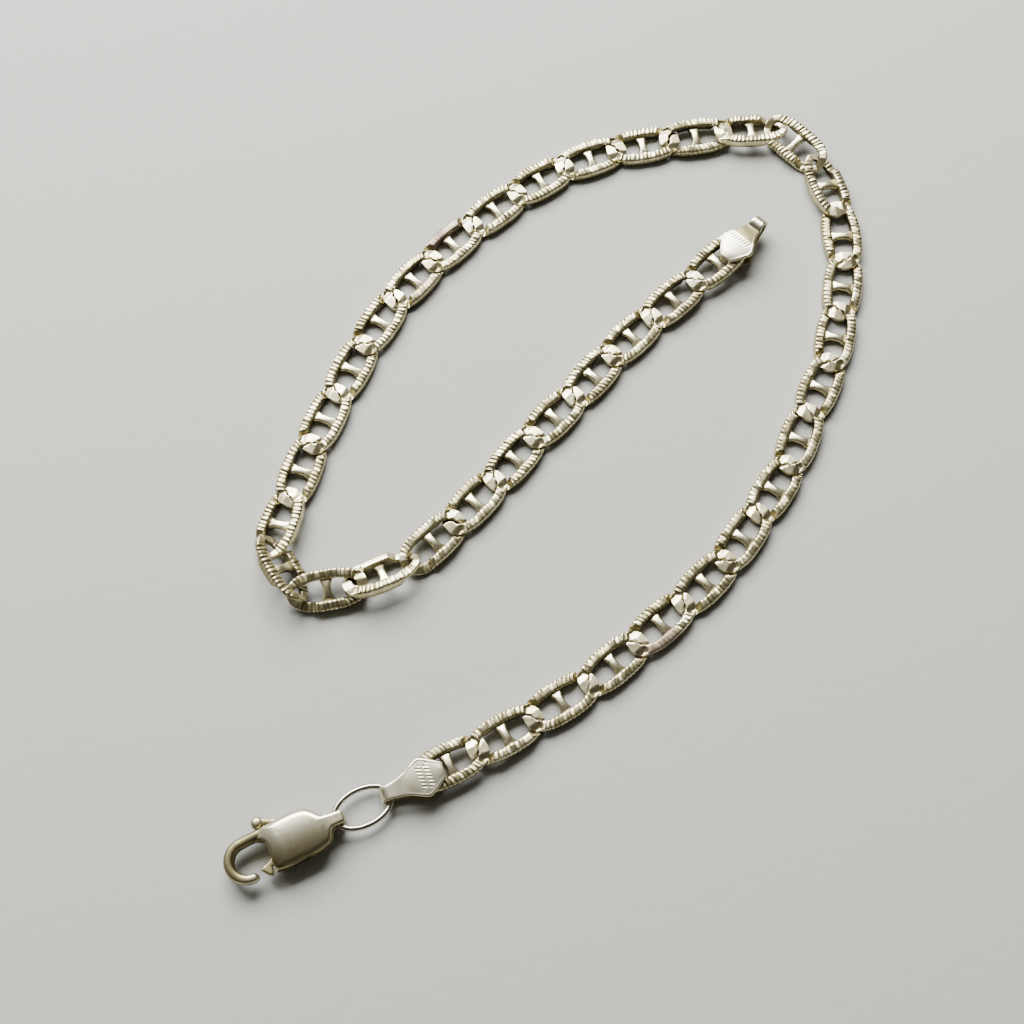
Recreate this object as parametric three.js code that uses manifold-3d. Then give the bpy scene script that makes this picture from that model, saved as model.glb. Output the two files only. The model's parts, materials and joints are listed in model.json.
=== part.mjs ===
// Silver bracelet: a flat mariner chain lying open on a table, with an end tab at each end, an oval jump ring
// and a lobster clasp. Millimetres, +Z up. The chain rests on z = 0 and its box is centred on the origin.

import * as THREE from 'three';
import { mergeVertices } from 'three/addons/utils/BufferGeometryUtils.js';
import Module from 'manifold-3d';

const wasm = await Module();
wasm.setup();

// ---- Driving dimensions -------------------------------------------------------------------------------------

const pitch = 4.73;             // centre to centre of two linked links on a straight run
const linkLength = 6.25;        // over the rim
const linkWidth = 3.2;
const linkHeight = 0.9;         // the chain is pressed flat to this
const rimWidth = 0.74;          // of an arm, seen from above
const tipWidth = 0.62;          // of the rim at the end of the link
const crossGap = 0.1;           // between the two arms that cross
const outerPower = 2.8;         // how square the oval is outside
const innerPower = 2.6;         // and inside
const swapReach = 0.42;         // half the width over which the rim changes from high to low
const fullHeightTo = 1.15;      // the arms have their full height as far out as this
const halfHeightFrom = 1.42;    // and only half of it from here on

const barWaist = 0.6;           // the centre bar, narrow in the middle
const barEnd = 1.0;             // and wide where it meets the arms
const barTop = 0.25;            // above the middle plane of the link
const barBottom = -0.35;

const sheet = 0.33;             // the strip that the end tabs are folded from
const tabFit = 0.1;             // between a link and the sheet
const tabLength = 5.05;
const tabWidth = 2.95;
const tabLoopWidth = 1.0;

const ringWire = 0.38;
const ringLength = 4.75;        // over the wire
const ringWidth = 3.05;

const claspThickness = 2.2;
const hookThickness = 1.3;
const neckThickness = 1.72;
const leverThickness = 0.64;
const leverSlot = 0.84;
const pinRadius = 0.3;
const pinHole = 0.42;
const eyeRadius = 0.45;

const silver = { color: 0xd9d6cc, roughness: 0.3, metalness: 1.0 };
const satinSilver = { color: 0xe2e0d8, roughness: 0.4, metalness: 1.0 };

// ---- The lie of the chain -----------------------------------------------------------------------------------

// Each stretch gives, for its links in turn, the bend from the link before, in degrees to the left.
const firstHeading = 26;
const stretches = [
  { name: 'out from the clasp', turns: [0, 5, 1, 8, 1, 4] },
  { name: 'up the right side', turns: [10, 2, 11, -3, 12, 3, 14] },
  { name: 'round the far turn', turns: [14, 27, 49, 5] },
  { name: 'along the back', turns: [2, 10, 12, 7, 5, 5] },
  { name: 'down the left side', turns: [10, 5, 2, 5, 1] },
  { name: 'round the near turn', turns: [49, 68, 14, 21] },
  { name: 'back through the middle', turns: [3, 3, -4, 3, -5, -3, 0] },
];

// How far a link sits in or out of the next one against the pitch: pushed together is above zero.
const play = {
  1: 0.1, 2: -0.1, 3: -0.15, 8: -0.1, 9: -0.1, 11: 0.1, 13: -0.1, 15: 0.45, 17: 0.2, 18: 0.1, 22: 0.15, 23: 0.1,
  28: 0.6, 29: 0.25, 30: 0.4, 31: 0.05, 32: 0.15, 38: -0.15,
};

// The links that don't lie flat. At the two turns they lean, with the upper arm raised by these degrees. The tabs
// hold the end links off the table by the rise, and the slope is how steeply a link climbs as the chain goes.
const flat = { lean: 0, rise: 0, slope: 0 };
const stances = [
  { link: 1, lean: 0, rise: 0.43, slope: 0 },
  { link: 2, lean: 0, rise: 0.24, slope: -4.5 },
  { link: 13, lean: 2, rise: 0, slope: 0 },
  { link: 14, lean: 8, rise: 0, slope: 0 },
  { link: 15, lean: 16, rise: 0, slope: 0 },
  { link: 16, lean: 12, rise: 0, slope: 0 },
  { link: 17, lean: 5, rise: 0, slope: 0 },
  { link: 27, lean: 2, rise: 0, slope: 0 },
  { link: 28, lean: 11, rise: 0.1, slope: 3.5 },
  { link: 29, lean: 40, rise: 0.1, slope: 0 },
  { link: 30, lean: 18, rise: 0, slope: 0 },
  { link: 31, lean: 22, rise: 0, slope: 0 },
  { link: 32, lean: 6, rise: 0.05, slope: -1.5 },
  { link: 38, lean: 1, rise: 0.14, slope: 3 },
  { link: 39, lean: 1, rise: 0.49, slope: 5 },
];

// ---- Helpers ------------------------------------------------------------------------------------------------

const degrees = Math.PI / 180;
const lerp = THREE.MathUtils.lerp;
const clamp = THREE.MathUtils.clamp;

// A closed geometry as a solid that can be joined and cut.
function solidOf(geometry) {
  const bare = geometry.clone();
  bare.deleteAttribute('normal');
  bare.deleteAttribute('uv');
  const merged = mergeVertices(bare, 1e-5);
  const vertProperties = new Float32Array(merged.attributes.position.array);
  const triVerts = new Uint32Array(merged.index.array);
  return new wasm.Manifold(new wasm.Mesh({ numProp: 3, vertProperties, triVerts }));
}

// A solid back to a geometry.
function geometryOf(solid) {
  const mesh = solid.getMesh();
  const geometry = new THREE.BufferGeometry();
  geometry.setAttribute('position', new THREE.BufferAttribute(new Float32Array(mesh.vertProperties), 3));
  geometry.setIndex(new THREE.BufferAttribute(new Uint32Array(mesh.triVerts), 1));
  geometry.computeVertexNormals();
  return geometry;
}

// A shape in plan, standing from one height to another.
function slab(shape, bottom, top, curveSegments = 6) {
  const geometry = new THREE.ExtrudeGeometry(shape, { depth: top - bottom, bevelEnabled: false, curveSegments });
  geometry.translate(0, 0, bottom);
  return solidOf(geometry);
}

// A straight-sided shape through its corners.
function polygon(corners) {
  return new THREE.Shape(corners.map(([x, y]) => new THREE.Vector2(x, y)));
}

// An upright disc or pin.
function disc(x, y, radius, bottom, top, sides = 12) {
  const geometry = new THREE.CylinderGeometry(radius, radius, top - bottom, sides);
  geometry.rotateX(Math.PI / 2);
  geometry.translate(x, y, (top + bottom) / 2);
  return solidOf(geometry);
}

function meshOf(name, geometry, finish) {
  const mesh = new THREE.Mesh(geometry, new THREE.MeshStandardMaterial(finish));
  mesh.name = name;
  return mesh;
}

// ---- Link ---------------------------------------------------------------------------------------------------

// The point of a squared oval at an angle round it.
function ovalPoint(angle, halfLength, halfWidth, power) {
  const c = Math.cos(angle);
  const s = Math.sin(angle);
  const x = halfLength * Math.sign(c) * Math.abs(c) ** (2 / power);
  const y = halfWidth * Math.sign(s) * Math.abs(s) ** (2 / power);
  return [x, y];
}

// Top and bottom of the rim at a place on it. In the middle of the link the arms have the full height. At both
// ends one arm keeps the upper half and the other the lower half, and the tip between them goes from one to
// the other.
function rimHeights(x, y, highSide) {
  const half = linkHeight / 2;
  const high = (1 + highSide * clamp(y / swapReach, -1, 1)) / 2;
  const split = clamp((Math.abs(x) - fullHeightTo) / (halfHeightFrom - fullHeightTo), 0, 1);
  const top = lerp(-crossGap / 2, half, high);
  const bottom = lerp(-half, crossGap / 2, high);
  return [lerp(half, top, split), lerp(-half, bottom, split)];
}

// The rim is a ring of four-sided section, each corner of the section led round the inner or the outer oval.
function linkRim(highSide) {
  const geometry = new THREE.TorusGeometry(1, 0.3, 4, 24);
  const position = geometry.attributes.position;
  const uv = geometry.attributes.uv;
  for (let i = 0; i < position.count; i += 1) {
    const angle = uv.getX(i) * 2 * Math.PI;
    const corner = Math.round(uv.getY(i) * 4) % 4;
    const outer = ovalPoint(angle, linkLength / 2, linkWidth / 2, outerPower);
    const inner = ovalPoint(angle, linkLength / 2 - tipWidth, linkWidth / 2 - rimWidth, innerPower);
    const [top, bottom] = rimHeights((outer[0] + inner[0]) / 2, (outer[1] + inner[1]) / 2, highSide);
    const [x, y] = corner === 0 || corner === 3 ? outer : inner;
    position.setXYZ(i, x, y, corner < 2 ? top : bottom);
  }
  return solidOf(geometry);
}

function linkBar() {
  const reach = linkWidth / 2 - rimWidth + 0.25;
  const flare = 0.3;
  const waist = barWaist / 2;
  const end = barEnd / 2;
  const outline = polygon([
    [-end, -reach], [end, -reach], [waist, -flare], [waist, flare],
    [end, reach], [-end, reach], [-waist, flare], [-waist, -flare],
  ]);
  return slab(outline, barBottom, barTop);
}

// highSide is +1 where the left-hand arm is the upper one, -1 where the right-hand arm is.
function linkGeometry(highSide) {
  return geometryOf(linkRim(highSide).add(linkBar()));
}

// ---- End tab ------------------------------------------------------------------------------------------------

const tabHalfHeight = linkHeight / 2 + tabFit + sheet;
const tabSlotHalf = tabHalfHeight - sheet;
const padMiddle = 1.25;         // from the blunt point
const padRadius = 0.45;
const tabCrimp = { from: 3.3, to: 3.75, height: 0.62 };   // where the two layers are pressed together
const loopCentre = tabLength - tabHalfHeight + 0.1;

// The folded strip from the side: flat over the link, dipped at the crimp and round at the loop.
function tabSide() {
  const side = new THREE.Shape();
  const loopHalf = tabHalfHeight - 0.1;
  side.moveTo(0, -tabHalfHeight);
  side.lineTo(loopCentre, -tabHalfHeight);
  side.absarc(loopCentre, -0.1, loopHalf, -Math.PI / 2, Math.PI / 2, false);
  side.quadraticCurveTo(tabCrimp.to + 0.1, tabCrimp.height - 0.05, tabCrimp.from - 0.3, tabCrimp.height + 0.06);
  side.quadraticCurveTo(tabCrimp.from - 0.6, tabHalfHeight, tabCrimp.from - 1.1, tabHalfHeight);
  side.lineTo(0, tabHalfHeight);
  side.closePath();
  return side;
}

// The space inside the fold: over the link it is open, and the loop is closed all round.
function tabHollows() {
  const linkSpace = polygon([
    [-1, -tabSlotHalf], [tabCrimp.from, -tabSlotHalf], [tabCrimp.from, 0.25], [2.6, tabSlotHalf], [-1, tabSlotHalf],
  ]);
  const loop = new THREE.Shape();
  const loopHalf = tabHalfHeight - 0.1 - sheet;
  loop.moveTo(tabCrimp.to + 0.05, -0.1 - loopHalf);
  loop.lineTo(loopCentre, -0.1 - loopHalf);
  loop.absarc(loopCentre, -0.1, loopHalf, -Math.PI / 2, Math.PI / 2, false);
  loop.lineTo(tabCrimp.to + 0.05, 0.2);
  loop.closePath();
  return [linkSpace, loop];
}

// The strip from above: blunt point at the bar of the link, wide over the link, narrow at the loop.
function tabPlan() {
  const half = tabWidth / 2;
  const loopHalf = tabLoopWidth / 2;
  const plan = new THREE.Shape();
  plan.moveTo(0, 0);
  plan.quadraticCurveTo(0.1, -0.35, 0.45, -0.75);
  plan.lineTo(0.95, -1.25);
  plan.quadraticCurveTo(1.15, -half, 1.5, -half);
  plan.quadraticCurveTo(2.05, -half, 2.45, -1.05);
  plan.quadraticCurveTo(2.8, -0.72, 3.6, -0.6);
  plan.lineTo(tabLength, -loopHalf);
  plan.lineTo(tabLength, loopHalf);
  plan.lineTo(3.6, 0.6);
  plan.quadraticCurveTo(2.8, 0.72, 2.45, 1.05);
  plan.quadraticCurveTo(2.05, half, 1.5, half);
  plan.quadraticCurveTo(1.15, half, 0.95, 1.25);
  plan.lineTo(0.45, 0.75);
  plan.quadraticCurveTo(0.1, 0.35, 0, 0);
  return plan;
}

// A shape in x and z, standing across the tab.
function across(shape, width, curveSegments = 6) {
  const geometry = new THREE.ExtrudeGeometry(shape, { depth: width, bevelEnabled: false, curveSegments });
  geometry.rotateX(Math.PI / 2);
  geometry.translate(0, width / 2, 0);
  return solidOf(geometry);
}

// x runs from the blunt point to the loop. The pad joins the two layers inside the link's opening, and lies on
// the middle line of the link, which is off the middle of the tab.
function tabGeometry(padAside) {
  const strip = across(tabSide(), tabWidth + 1, 5);
  const [linkSpace, loop] = tabHollows();
  const pad = disc(padMiddle, padAside, padRadius, -tabSlotHalf - 0.1, tabSlotHalf + 0.1, 8);
  const folded = strip.subtract(across(linkSpace, tabWidth + 2)).subtract(across(loop, tabWidth + 2, 5));
  const trimmed = folded.intersect(slab(tabPlan(), -2, 2, 3));
  return geometryOf(trimmed.add(pad));
}

// ---- Jump ring ----------------------------------------------------------------------------------------------

function ringGeometry() {
  const wire = ringWire / 2;
  const halfLength = ringLength / 2 - wire;
  const halfWidth = ringWidth / 2 - wire;
  const geometry = new THREE.TorusGeometry(1, 0.2, 6, 28);
  const position = geometry.attributes.position;
  const uv = geometry.attributes.uv;
  for (let i = 0; i < position.count; i += 1) {
    const angle = uv.getX(i) * 2 * Math.PI;
    const round = uv.getY(i) * 2 * Math.PI;
    const normal = new THREE.Vector2(Math.cos(angle) * halfWidth, Math.sin(angle) * halfLength).normalize();
    const x = Math.cos(angle) * halfLength + normal.x * Math.cos(round) * wire;
    const y = Math.sin(angle) * halfWidth + normal.y * Math.cos(round) * wire;
    position.setXYZ(i, x, y, Math.sin(round) * wire);
  }
  return geometryOf(solidOf(geometry));
}

// ---- Lobster clasp ------------------------------------------------------------------------------------------

// The clasp's own frame has x along it towards the neck and y towards its back, where the thumb knob is.
const hookCentre = { x: -4.42, y: -0.05 };
const hookOuter = 1.68;
const hookInner = 1.0;
const hookTipAngle = -72;
const pivot = { x: -1.1, y: 0.35 };
const neck = { x: 2.5, y: 0.22, halfWidth: 0.5 };
const eye = { x: 2.32, wireX: 2.27 };

// The hook is a bowed band from the back of the body round to its tip.
function hookShape() {
  const { x, y } = hookCentre;
  const tip = hookTipAngle * degrees;
  const shape = new THREE.Shape();
  shape.moveTo(-2.7, 0.9);
  shape.lineTo(-2.7, 1.66);
  shape.absarc(x, y, hookOuter, 90 * degrees, tip + 2 * Math.PI, false);
  shape.absarc(x + 0.12, y - 0.05, hookInner, tip + 2 * Math.PI + 0.12, 62 * degrees, true);
  shape.closePath();
  return shape;
}

// The body is widest over the pivot and draws in to the neck.
function bodyShape() {
  const shape = new THREE.Shape();
  shape.moveTo(-3.2, 1.6);
  shape.quadraticCurveTo(-3.0, 0.75, -2.78, 0.42);
  shape.quadraticCurveTo(-2.72, -0.3, -2.8, -1.0);
  shape.lineTo(-2.75, -1.58);
  shape.quadraticCurveTo(-1.9, -1.74, -0.8, -1.62);
  shape.quadraticCurveTo(1.5, -1.6, 1.75, -0.72);
  shape.quadraticCurveTo(1.85, -0.28, 2.15, neck.y - neck.halfWidth);
  shape.lineTo(neck.x, neck.y - neck.halfWidth);
  shape.absarc(neck.x, neck.y, neck.halfWidth, -Math.PI / 2, Math.PI / 2, false);
  shape.lineTo(1.95, neck.y + neck.halfWidth);
  shape.quadraticCurveTo(1.5, neck.y + neck.halfWidth, 1.3, 1.15);
  shape.quadraticCurveTo(0.8, 1.95, -0.4, 1.92);
  shape.quadraticCurveTo(-1.8, 1.8, -3.2, 1.6);
  return shape;
}

// The room inside the body that the lever swings in, open at the back and at the throat.
function leverRoom() {
  return polygon([
    [-3.6, 0.7], [-2.6, 0.95], [-2.6, 2.6], [-0.45, 2.6], [-0.2, 1.2], [-0.2, -0.5], [-0.9, -0.95],
    [-2.7, -1.12], [-3.0, -2.0], [-4.0, -2.0],
  ]);
}

// The neck is thinner than the body, and its eye runs across it.
function neckTrim() {
  const half = neckThickness / 2;
  const above = polygon([[1.2, 2], [1.9, half], [4, half], [4, 2]]);
  const below = polygon([[1.2, -2], [4, -2], [4, -half], [1.9, -half]]);
  return across(above, 6).add(across(below, 6));
}

function eyeHole() {
  const geometry = new THREE.CylinderGeometry(eyeRadius, eyeRadius, 4, 12);
  geometry.translate(eye.x, neck.y, 0);
  return solidOf(geometry);
}

function claspGeometry() {
  const half = claspThickness / 2;
  const shell = slab(bodyShape(), -half, half, 5).subtract(neckTrim());
  const hollow = shell.subtract(slab(leverRoom(), -leverSlot / 2, leverSlot / 2));
  const hook = slab(hookShape(), -hookThickness / 2, hookThickness / 2, 9);
  const pin = disc(pivot.x, pivot.y, pinRadius, -half + 0.2, half - 0.2, 10);
  return geometryOf(hollow.add(hook).add(pin).subtract(eyeHole()));
}

// The gate closes the hook at one end of the lever, and the thumb knob stands out at the back.
function leverGeometry() {
  const half = leverThickness / 2;
  const gate = polygon([
    [-1.55, 0.75], [-2.95, -0.68], [-3.68, -0.98], [-3.72, -1.1], [-3.34, -1.56], [-3.16, -1.66], [-2.98, -1.62],
    [-2.9, -1.02], [-1.6, -0.6], [-0.75, -0.1],
  ]);
  const thumb = polygon([
    [-1.7, 0.3], [-0.6, 0.3], [-0.9, 1.1], [-1.45, 1.85], [-2.7, 2.3], [-2.85, 1.95], [-2.1, 1.75], [-1.7, 1.3],
  ]);
  const arms = slab(gate, -half, half).add(slab(thumb, -half, half));
  const hub = disc(pivot.x, pivot.y, 0.68, -half, half, 14);
  const knob = disc(-2.9, 2.18, 0.46, -0.45, 0.45, 14);
  const hole = disc(pivot.x, pivot.y, pinHole, -1, 1, 12);
  return geometryOf(arms.add(hub).add(knob).subtract(hole));
}

// ---- The chain laid out -------------------------------------------------------------------------------------

const lay = new THREE.Group();
const linkGeometries = { 1: linkGeometry(1), '-1': linkGeometry(-1) };

// Walks the chain link by link and keeps where each one lies.
function walkChain() {
  const turns = stretches.flatMap((stretch) => stretch.turns);
  const places = [];
  const joint = new THREE.Vector2(0, 0);
  let heading = firstHeading;
  turns.forEach((turn, index) => {
    const number = index + 1;
    heading += turn;
    const along = new THREE.Vector2(Math.cos(heading * degrees), Math.sin(heading * degrees));
    const highSide = number % 2 === 0 ? 1 : -1;
    const { lean, rise, slope } = stances.find((stance) => stance.link === number) ?? flat;
    const behind = (pitch - (play[number - 1] ?? 0)) / 2;
    const ahead = (pitch - (play[number] ?? 0)) / 2;
    const centre = joint.clone().addScaledVector(along, behind);
    joint.copy(centre).addScaledVector(along, ahead);
    const leaning = lean * degrees;
    const lift = (linkWidth / 2) * Math.sin(leaning) + (linkHeight / 2) * Math.cos(leaning);
    const roll = highSide * leaning;
    const position = new THREE.Vector3(centre.x, centre.y, lift + rise);
    const rotation = new THREE.Euler(roll, -slope * degrees, heading * degrees, 'ZYX');
    places.push({ number, highSide, position, rotation });
  });
  return places;
}

const places = walkChain();
places.forEach(({ number, highSide, position, rotation }) => {
  const link = meshOf(`link_${String(number).padStart(2, '0')}`, linkGeometries[highSide], silver);
  link.position.copy(position);
  link.rotation.copy(rotation);
  lay.add(link);
});

// ---- Tabs, ring and clasp -----------------------------------------------------------------------------------

// Where each tab lies on its link: its blunt point this far past the middle of the link's bar, aside to the left,
// and turned from the line of the link.
const claspTabLie = { name: 'tab_clasp_end', past: 0.45, aside: 0.25, turn: -3 };
const freeTabLie = { name: 'tab_free_end', past: 0.42, aside: -0.42, turn: 6 };
const claspEnd = { number: 1, facing: -1 };
const freeEnd = { number: places.length, facing: 1 };

// facing is -1 where the tab points back against the run of the chain.
function placeTab(lie, { number, facing }) {
  const link = places[number - 1];
  const onLink = new THREE.Group();
  onLink.position.copy(link.position);
  onLink.rotation.copy(link.rotation);
  const padAside = -lie.aside - padMiddle * Math.tan(lie.turn * degrees);
  const tab = meshOf(lie.name, tabGeometry(padAside), satinSilver);
  tab.position.set(facing * lie.past, facing * lie.aside, 0);
  tab.rotation.z = lie.turn * degrees + (facing < 0 ? Math.PI : 0);
  onLink.add(tab);
  lay.add(onLink);
  lay.updateMatrixWorld(true);
  return tab;
}

const claspTab = placeTab(claspTabLie, claspEnd);
placeTab(freeTabLie, freeEnd);

// The ring's far wire lies in the loop of the tab, its near wire in the eye of the clasp.
const ringHeading = 27 * degrees;
const ringAxis = new THREE.Vector2(Math.cos(ringHeading), Math.sin(ringHeading));
const ringSpan = ringLength - ringWire;
const loopInside = tabLength - sheet - ringWire / 2 - 0.28;
const ringAt = claspTab.localToWorld(new THREE.Vector3(loopInside, 0, 0));
const ringCentre = new THREE.Vector2(ringAt.x, ringAt.y).addScaledVector(ringAxis, -ringSpan / 2);
const ringLow = 0.6;            // height of its wire in the loop of the tab
const ringHigh = 0.9;           // and in the eye of the clasp
const ring = meshOf('jump_ring', ringGeometry(), silver);
ring.position.set(ringCentre.x, ringCentre.y, (ringLow + ringHigh) / 2);
ring.rotation.set(0, Math.asin((ringHigh - ringLow) / ringSpan), ringHeading, 'ZYX');
lay.add(ring);

// The clasp lies on its flat side, turned a little from the chain.
const claspHeading = 23 * degrees;
const eyeAt = ringCentre.clone().addScaledVector(ringAxis, -ringSpan / 2);
const clasp = new THREE.Group();
const eyeOffset = new THREE.Vector2(eye.wireX, neck.y);
eyeOffset.rotateAround(new THREE.Vector2(0, 0), claspHeading);
clasp.position.set(eyeAt.x - eyeOffset.x, eyeAt.y - eyeOffset.y, claspThickness / 2);
clasp.rotation.z = claspHeading;
clasp.add(meshOf('clasp_body', claspGeometry(), satinSilver));
clasp.add(meshOf('clasp_lever', leverGeometry(), satinSilver));
lay.add(clasp);

// ---- The whole, centred on the origin and resting on z = 0 --------------------------------------------------

lay.updateMatrixWorld(true);
const box = new THREE.Box3().setFromObject(lay, true);
lay.position.set(-(box.min.x + box.max.x) / 2, -(box.min.y + box.max.y) / 2, -box.min.z);

const bracelet = new THREE.Group();
bracelet.add(lay);
export default bracelet;
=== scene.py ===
import bpy
import json
import numpy as np
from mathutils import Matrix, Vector


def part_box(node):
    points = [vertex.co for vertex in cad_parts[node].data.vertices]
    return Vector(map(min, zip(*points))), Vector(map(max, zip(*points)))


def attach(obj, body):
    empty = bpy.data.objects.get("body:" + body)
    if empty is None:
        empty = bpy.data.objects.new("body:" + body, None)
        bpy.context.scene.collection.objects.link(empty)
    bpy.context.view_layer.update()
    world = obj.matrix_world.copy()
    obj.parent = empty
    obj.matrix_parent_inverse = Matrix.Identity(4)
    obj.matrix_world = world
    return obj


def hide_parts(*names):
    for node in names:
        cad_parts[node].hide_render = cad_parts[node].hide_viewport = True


# A flat mariner chain bracelet lying open on pale paper. Every shape is worked out in millimetres, as a
# grid of points row by row, and goes into its mesh in metres.

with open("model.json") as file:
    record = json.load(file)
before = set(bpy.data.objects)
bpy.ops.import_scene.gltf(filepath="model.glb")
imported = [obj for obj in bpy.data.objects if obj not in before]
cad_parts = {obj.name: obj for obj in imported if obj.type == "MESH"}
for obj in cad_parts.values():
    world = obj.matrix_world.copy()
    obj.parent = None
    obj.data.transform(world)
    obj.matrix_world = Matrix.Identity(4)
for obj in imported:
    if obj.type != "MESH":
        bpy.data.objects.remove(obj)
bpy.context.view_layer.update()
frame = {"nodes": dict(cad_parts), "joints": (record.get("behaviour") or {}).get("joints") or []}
nodes = frame["nodes"]
mm = 0.001


# Each vector divided by its own length
def unit(v):
    return v / np.linalg.norm(v, axis=-1, keepdims=True)


# 0 up to the start, 1 from the end on, and s*s*(3-2s) between them
def ease(x, start, end):
    s = np.clip((x - start) / (end - start), 0, 1)
    return s * s * (3 - 2 * s)


# Signed power: keeps the sign of x and raises its size
def signedPower(x, p):
    return np.sign(x) * np.abs(x) ** p


# Squared circle: the point at each angle of |a|^power + |b|^power = 1
def squaredCircle(angles, power):
    return signedPower(np.cos(angles), 2 / power), signedPower(np.sin(angles), 2 / power)


# Quads between the rows and columns of a grid whose columns close on themselves. The rows close too, or
# each end row is shut with one face. The sign of the volume, the sum of a . b x c over the triangles,
# tells which way they face, and they are turned over if it is below zero.
def gridFaces(points, closedRows):
    rows, columns = points.shape[:2]
    i = np.arange(rows if closedRows else rows - 1)[:, None]
    j = np.arange(columns)[None, :]
    ahead, beside = (i + 1) % rows, (j + 1) % columns
    corners = [i * columns + j, i * columns + beside, ahead * columns + beside, ahead * columns + j]
    quads = np.stack(corners, -1).reshape(-1, 4)
    p = points.reshape(-1, 3) - points.reshape(-1, 3).mean(0)
    a, b, c, d = (p[quads[:, k]] for k in range(4))
    volume = np.einsum("ij,ij->", a, np.cross(b, c)) + np.einsum("ij,ij->", a, np.cross(c, d))
    faces = quads.tolist()
    if not closedRows:
        first, last = np.arange(columns), (rows - 1) * columns + np.arange(columns)
        faces += [first[::-1].tolist(), last.tolist()]
    return faces if volume > 0 else [f[::-1] for f in faces]


# A tube along a path: every section is a squared circle, stretched to its half sizes to the side of the
# path and along the up direction
def tube(path, halfSide, halfUp, power=2.0, columns=24, closed=False, up=(0.0, 0.0, 1.0)):
    path = np.asarray(path, float)
    if closed:
        tangent = np.roll(path, -1, 0) - np.roll(path, 1, 0)
    else:
        tangent = np.gradient(path, axis=0)
    side = unit(np.cross(np.broadcast_to(up, path.shape), tangent))
    rise = unit(np.cross(tangent, side))
    c, s = squaredCircle(np.linspace(0, 2 * np.pi, columns, endpoint=False), power)
    halfSide = np.broadcast_to(halfSide, len(path))[:, None, None]
    halfUp = np.broadcast_to(halfUp, len(path))[:, None, None]
    sideways = side[:, None] * c[None, :, None] * halfSide
    upwards = rise[:, None] * s[None, :, None] * halfUp
    return path[:, None] + sideways + upwards


# Row positions along an open tube, closer together at its rounded ends, and the share of the full section
# there: the ends are quarter circles, sqrt(1 - (1 - d)^2) with d the distance from the end over the
# rounding, and stop just short of a point
def roundedEnds(rows, length, startRound, endRound):
    s = (1 - np.cos(np.linspace(0.04, np.pi - 0.04, rows))) / 2 * length
    share = np.ones(rows)
    for distance, rounding in ((s, startRound), (length - s, endRound)):
        d = np.clip(distance / max(rounding, 1e-6), 0, 1)
        share = share * np.sqrt(np.clip(1 - (1 - d) ** 2, 0.0016, 1))
    return s, share


# Points on a cubic curve: its four controls, weighted by (1-t)^3, 3(1-t)^2 t, 3(1-t) t^2 and t^3
def bezier(controls, t):
    p0, p1, p2, p3 = (np.asarray(p, float) for p in controls)
    t = np.asarray(t)[:, None]
    return (1 - t) ** 3 * p0 + 3 * (1 - t) ** 2 * t * p1 + 3 * (1 - t) * t ** 2 * p2 + t ** 3 * p3


# Evenly spaced points along a line of points, by its length
def evenly(path, count):
    path = np.asarray(path, float)
    length = np.concatenate([[0], np.cumsum(np.linalg.norm(np.diff(path, axis=0), axis=1))])
    at = np.linspace(0, length[-1], count)
    return np.stack([np.interp(at, length, path[:, k]) for k in range(path.shape[1])], -1)


# One object from several closed grids: (points in mm in the frame, closed rows, {attribute: values})
def makePiece(name, grids, body, stoodFor, material, sharpAngle=45):
    vertices, faces, values, start = [], [], {"tarnishAndShade": [], "stain": []}, 0
    for points, closedRows, marks in grids:
        count = points.shape[0] * points.shape[1]
        faces += [[k + start for k in f] for f in gridFaces(points, closedRows)]
        vertices.append(points.reshape(-1, 3) * mm)
        for key in values:
            values[key].append(np.broadcast_to(marks.get(key, 0.0), points.shape[:2]).reshape(-1))
        start += count
    mesh = bpy.data.meshes.new(name)
    mesh.from_pydata(np.concatenate(vertices).tolist(), [], faces)
    mesh.shade_smooth()
    mesh.set_sharp_from_angle(angle=np.radians(sharpAngle))
    for key, parts in values.items():
        whole = np.concatenate(parts).astype(np.float32)
        mesh.attributes.new(key, "FLOAT", "POINT").data.foreach_set("value", whole)
    piece = bpy.data.objects.new(name, mesh)
    bpy.context.scene.collection.objects.link(piece)
    mesh.materials.append(material)
    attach(piece, body)
    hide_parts(*stoodFor)


# Middle and principal axes of a node's solid. Volume and second moments are summed over the tetrahedra
# that the triangles make with the origin: d/6 and d/120 (aa + bb + cc + ss), with d = a . b x c and
# s = a + b + c.
def principalFrame(node):
    mesh = nodes[node].data
    mesh.calc_loop_triangles()
    index = np.zeros(len(mesh.loop_triangles) * 3, np.int32)
    mesh.loop_triangles.foreach_get("vertices", index)
    co = np.zeros(len(mesh.vertices) * 3)
    mesh.vertices.foreach_get("co", co)
    tri = (co.reshape(-1, 3) / mm)[index].reshape(-1, 3, 3)
    shift = tri.reshape(-1, 3).mean(0)
    tri = tri - shift
    d = np.einsum("ij,ij->i", tri[:, 0], np.cross(tri[:, 1], tri[:, 2]))
    s = tri.sum(1)
    volume = d.sum() / 6
    middle = (d[:, None] * s).sum(0) / 24 / volume
    second = np.einsum("i,ikj,ikl->jl", d, tri, tri) + np.einsum("i,ij,il->jl", d, s, s)
    second = second / 120 / volume - np.outer(middle, middle)
    axes = np.linalg.eigh(second)[1].T[::-1]          # rows: the longest way first
    return middle + shift, axes


# Axes as columns x, y, z: x along the given way, z up, y to the left
def pointed(middle, axes, along):
    x = axes[0] * np.sign(axes[0] @ along)
    z = axes[2] * np.sign(axes[2][2])
    return middle, np.stack([x, np.cross(z, x), z], -1)


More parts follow.
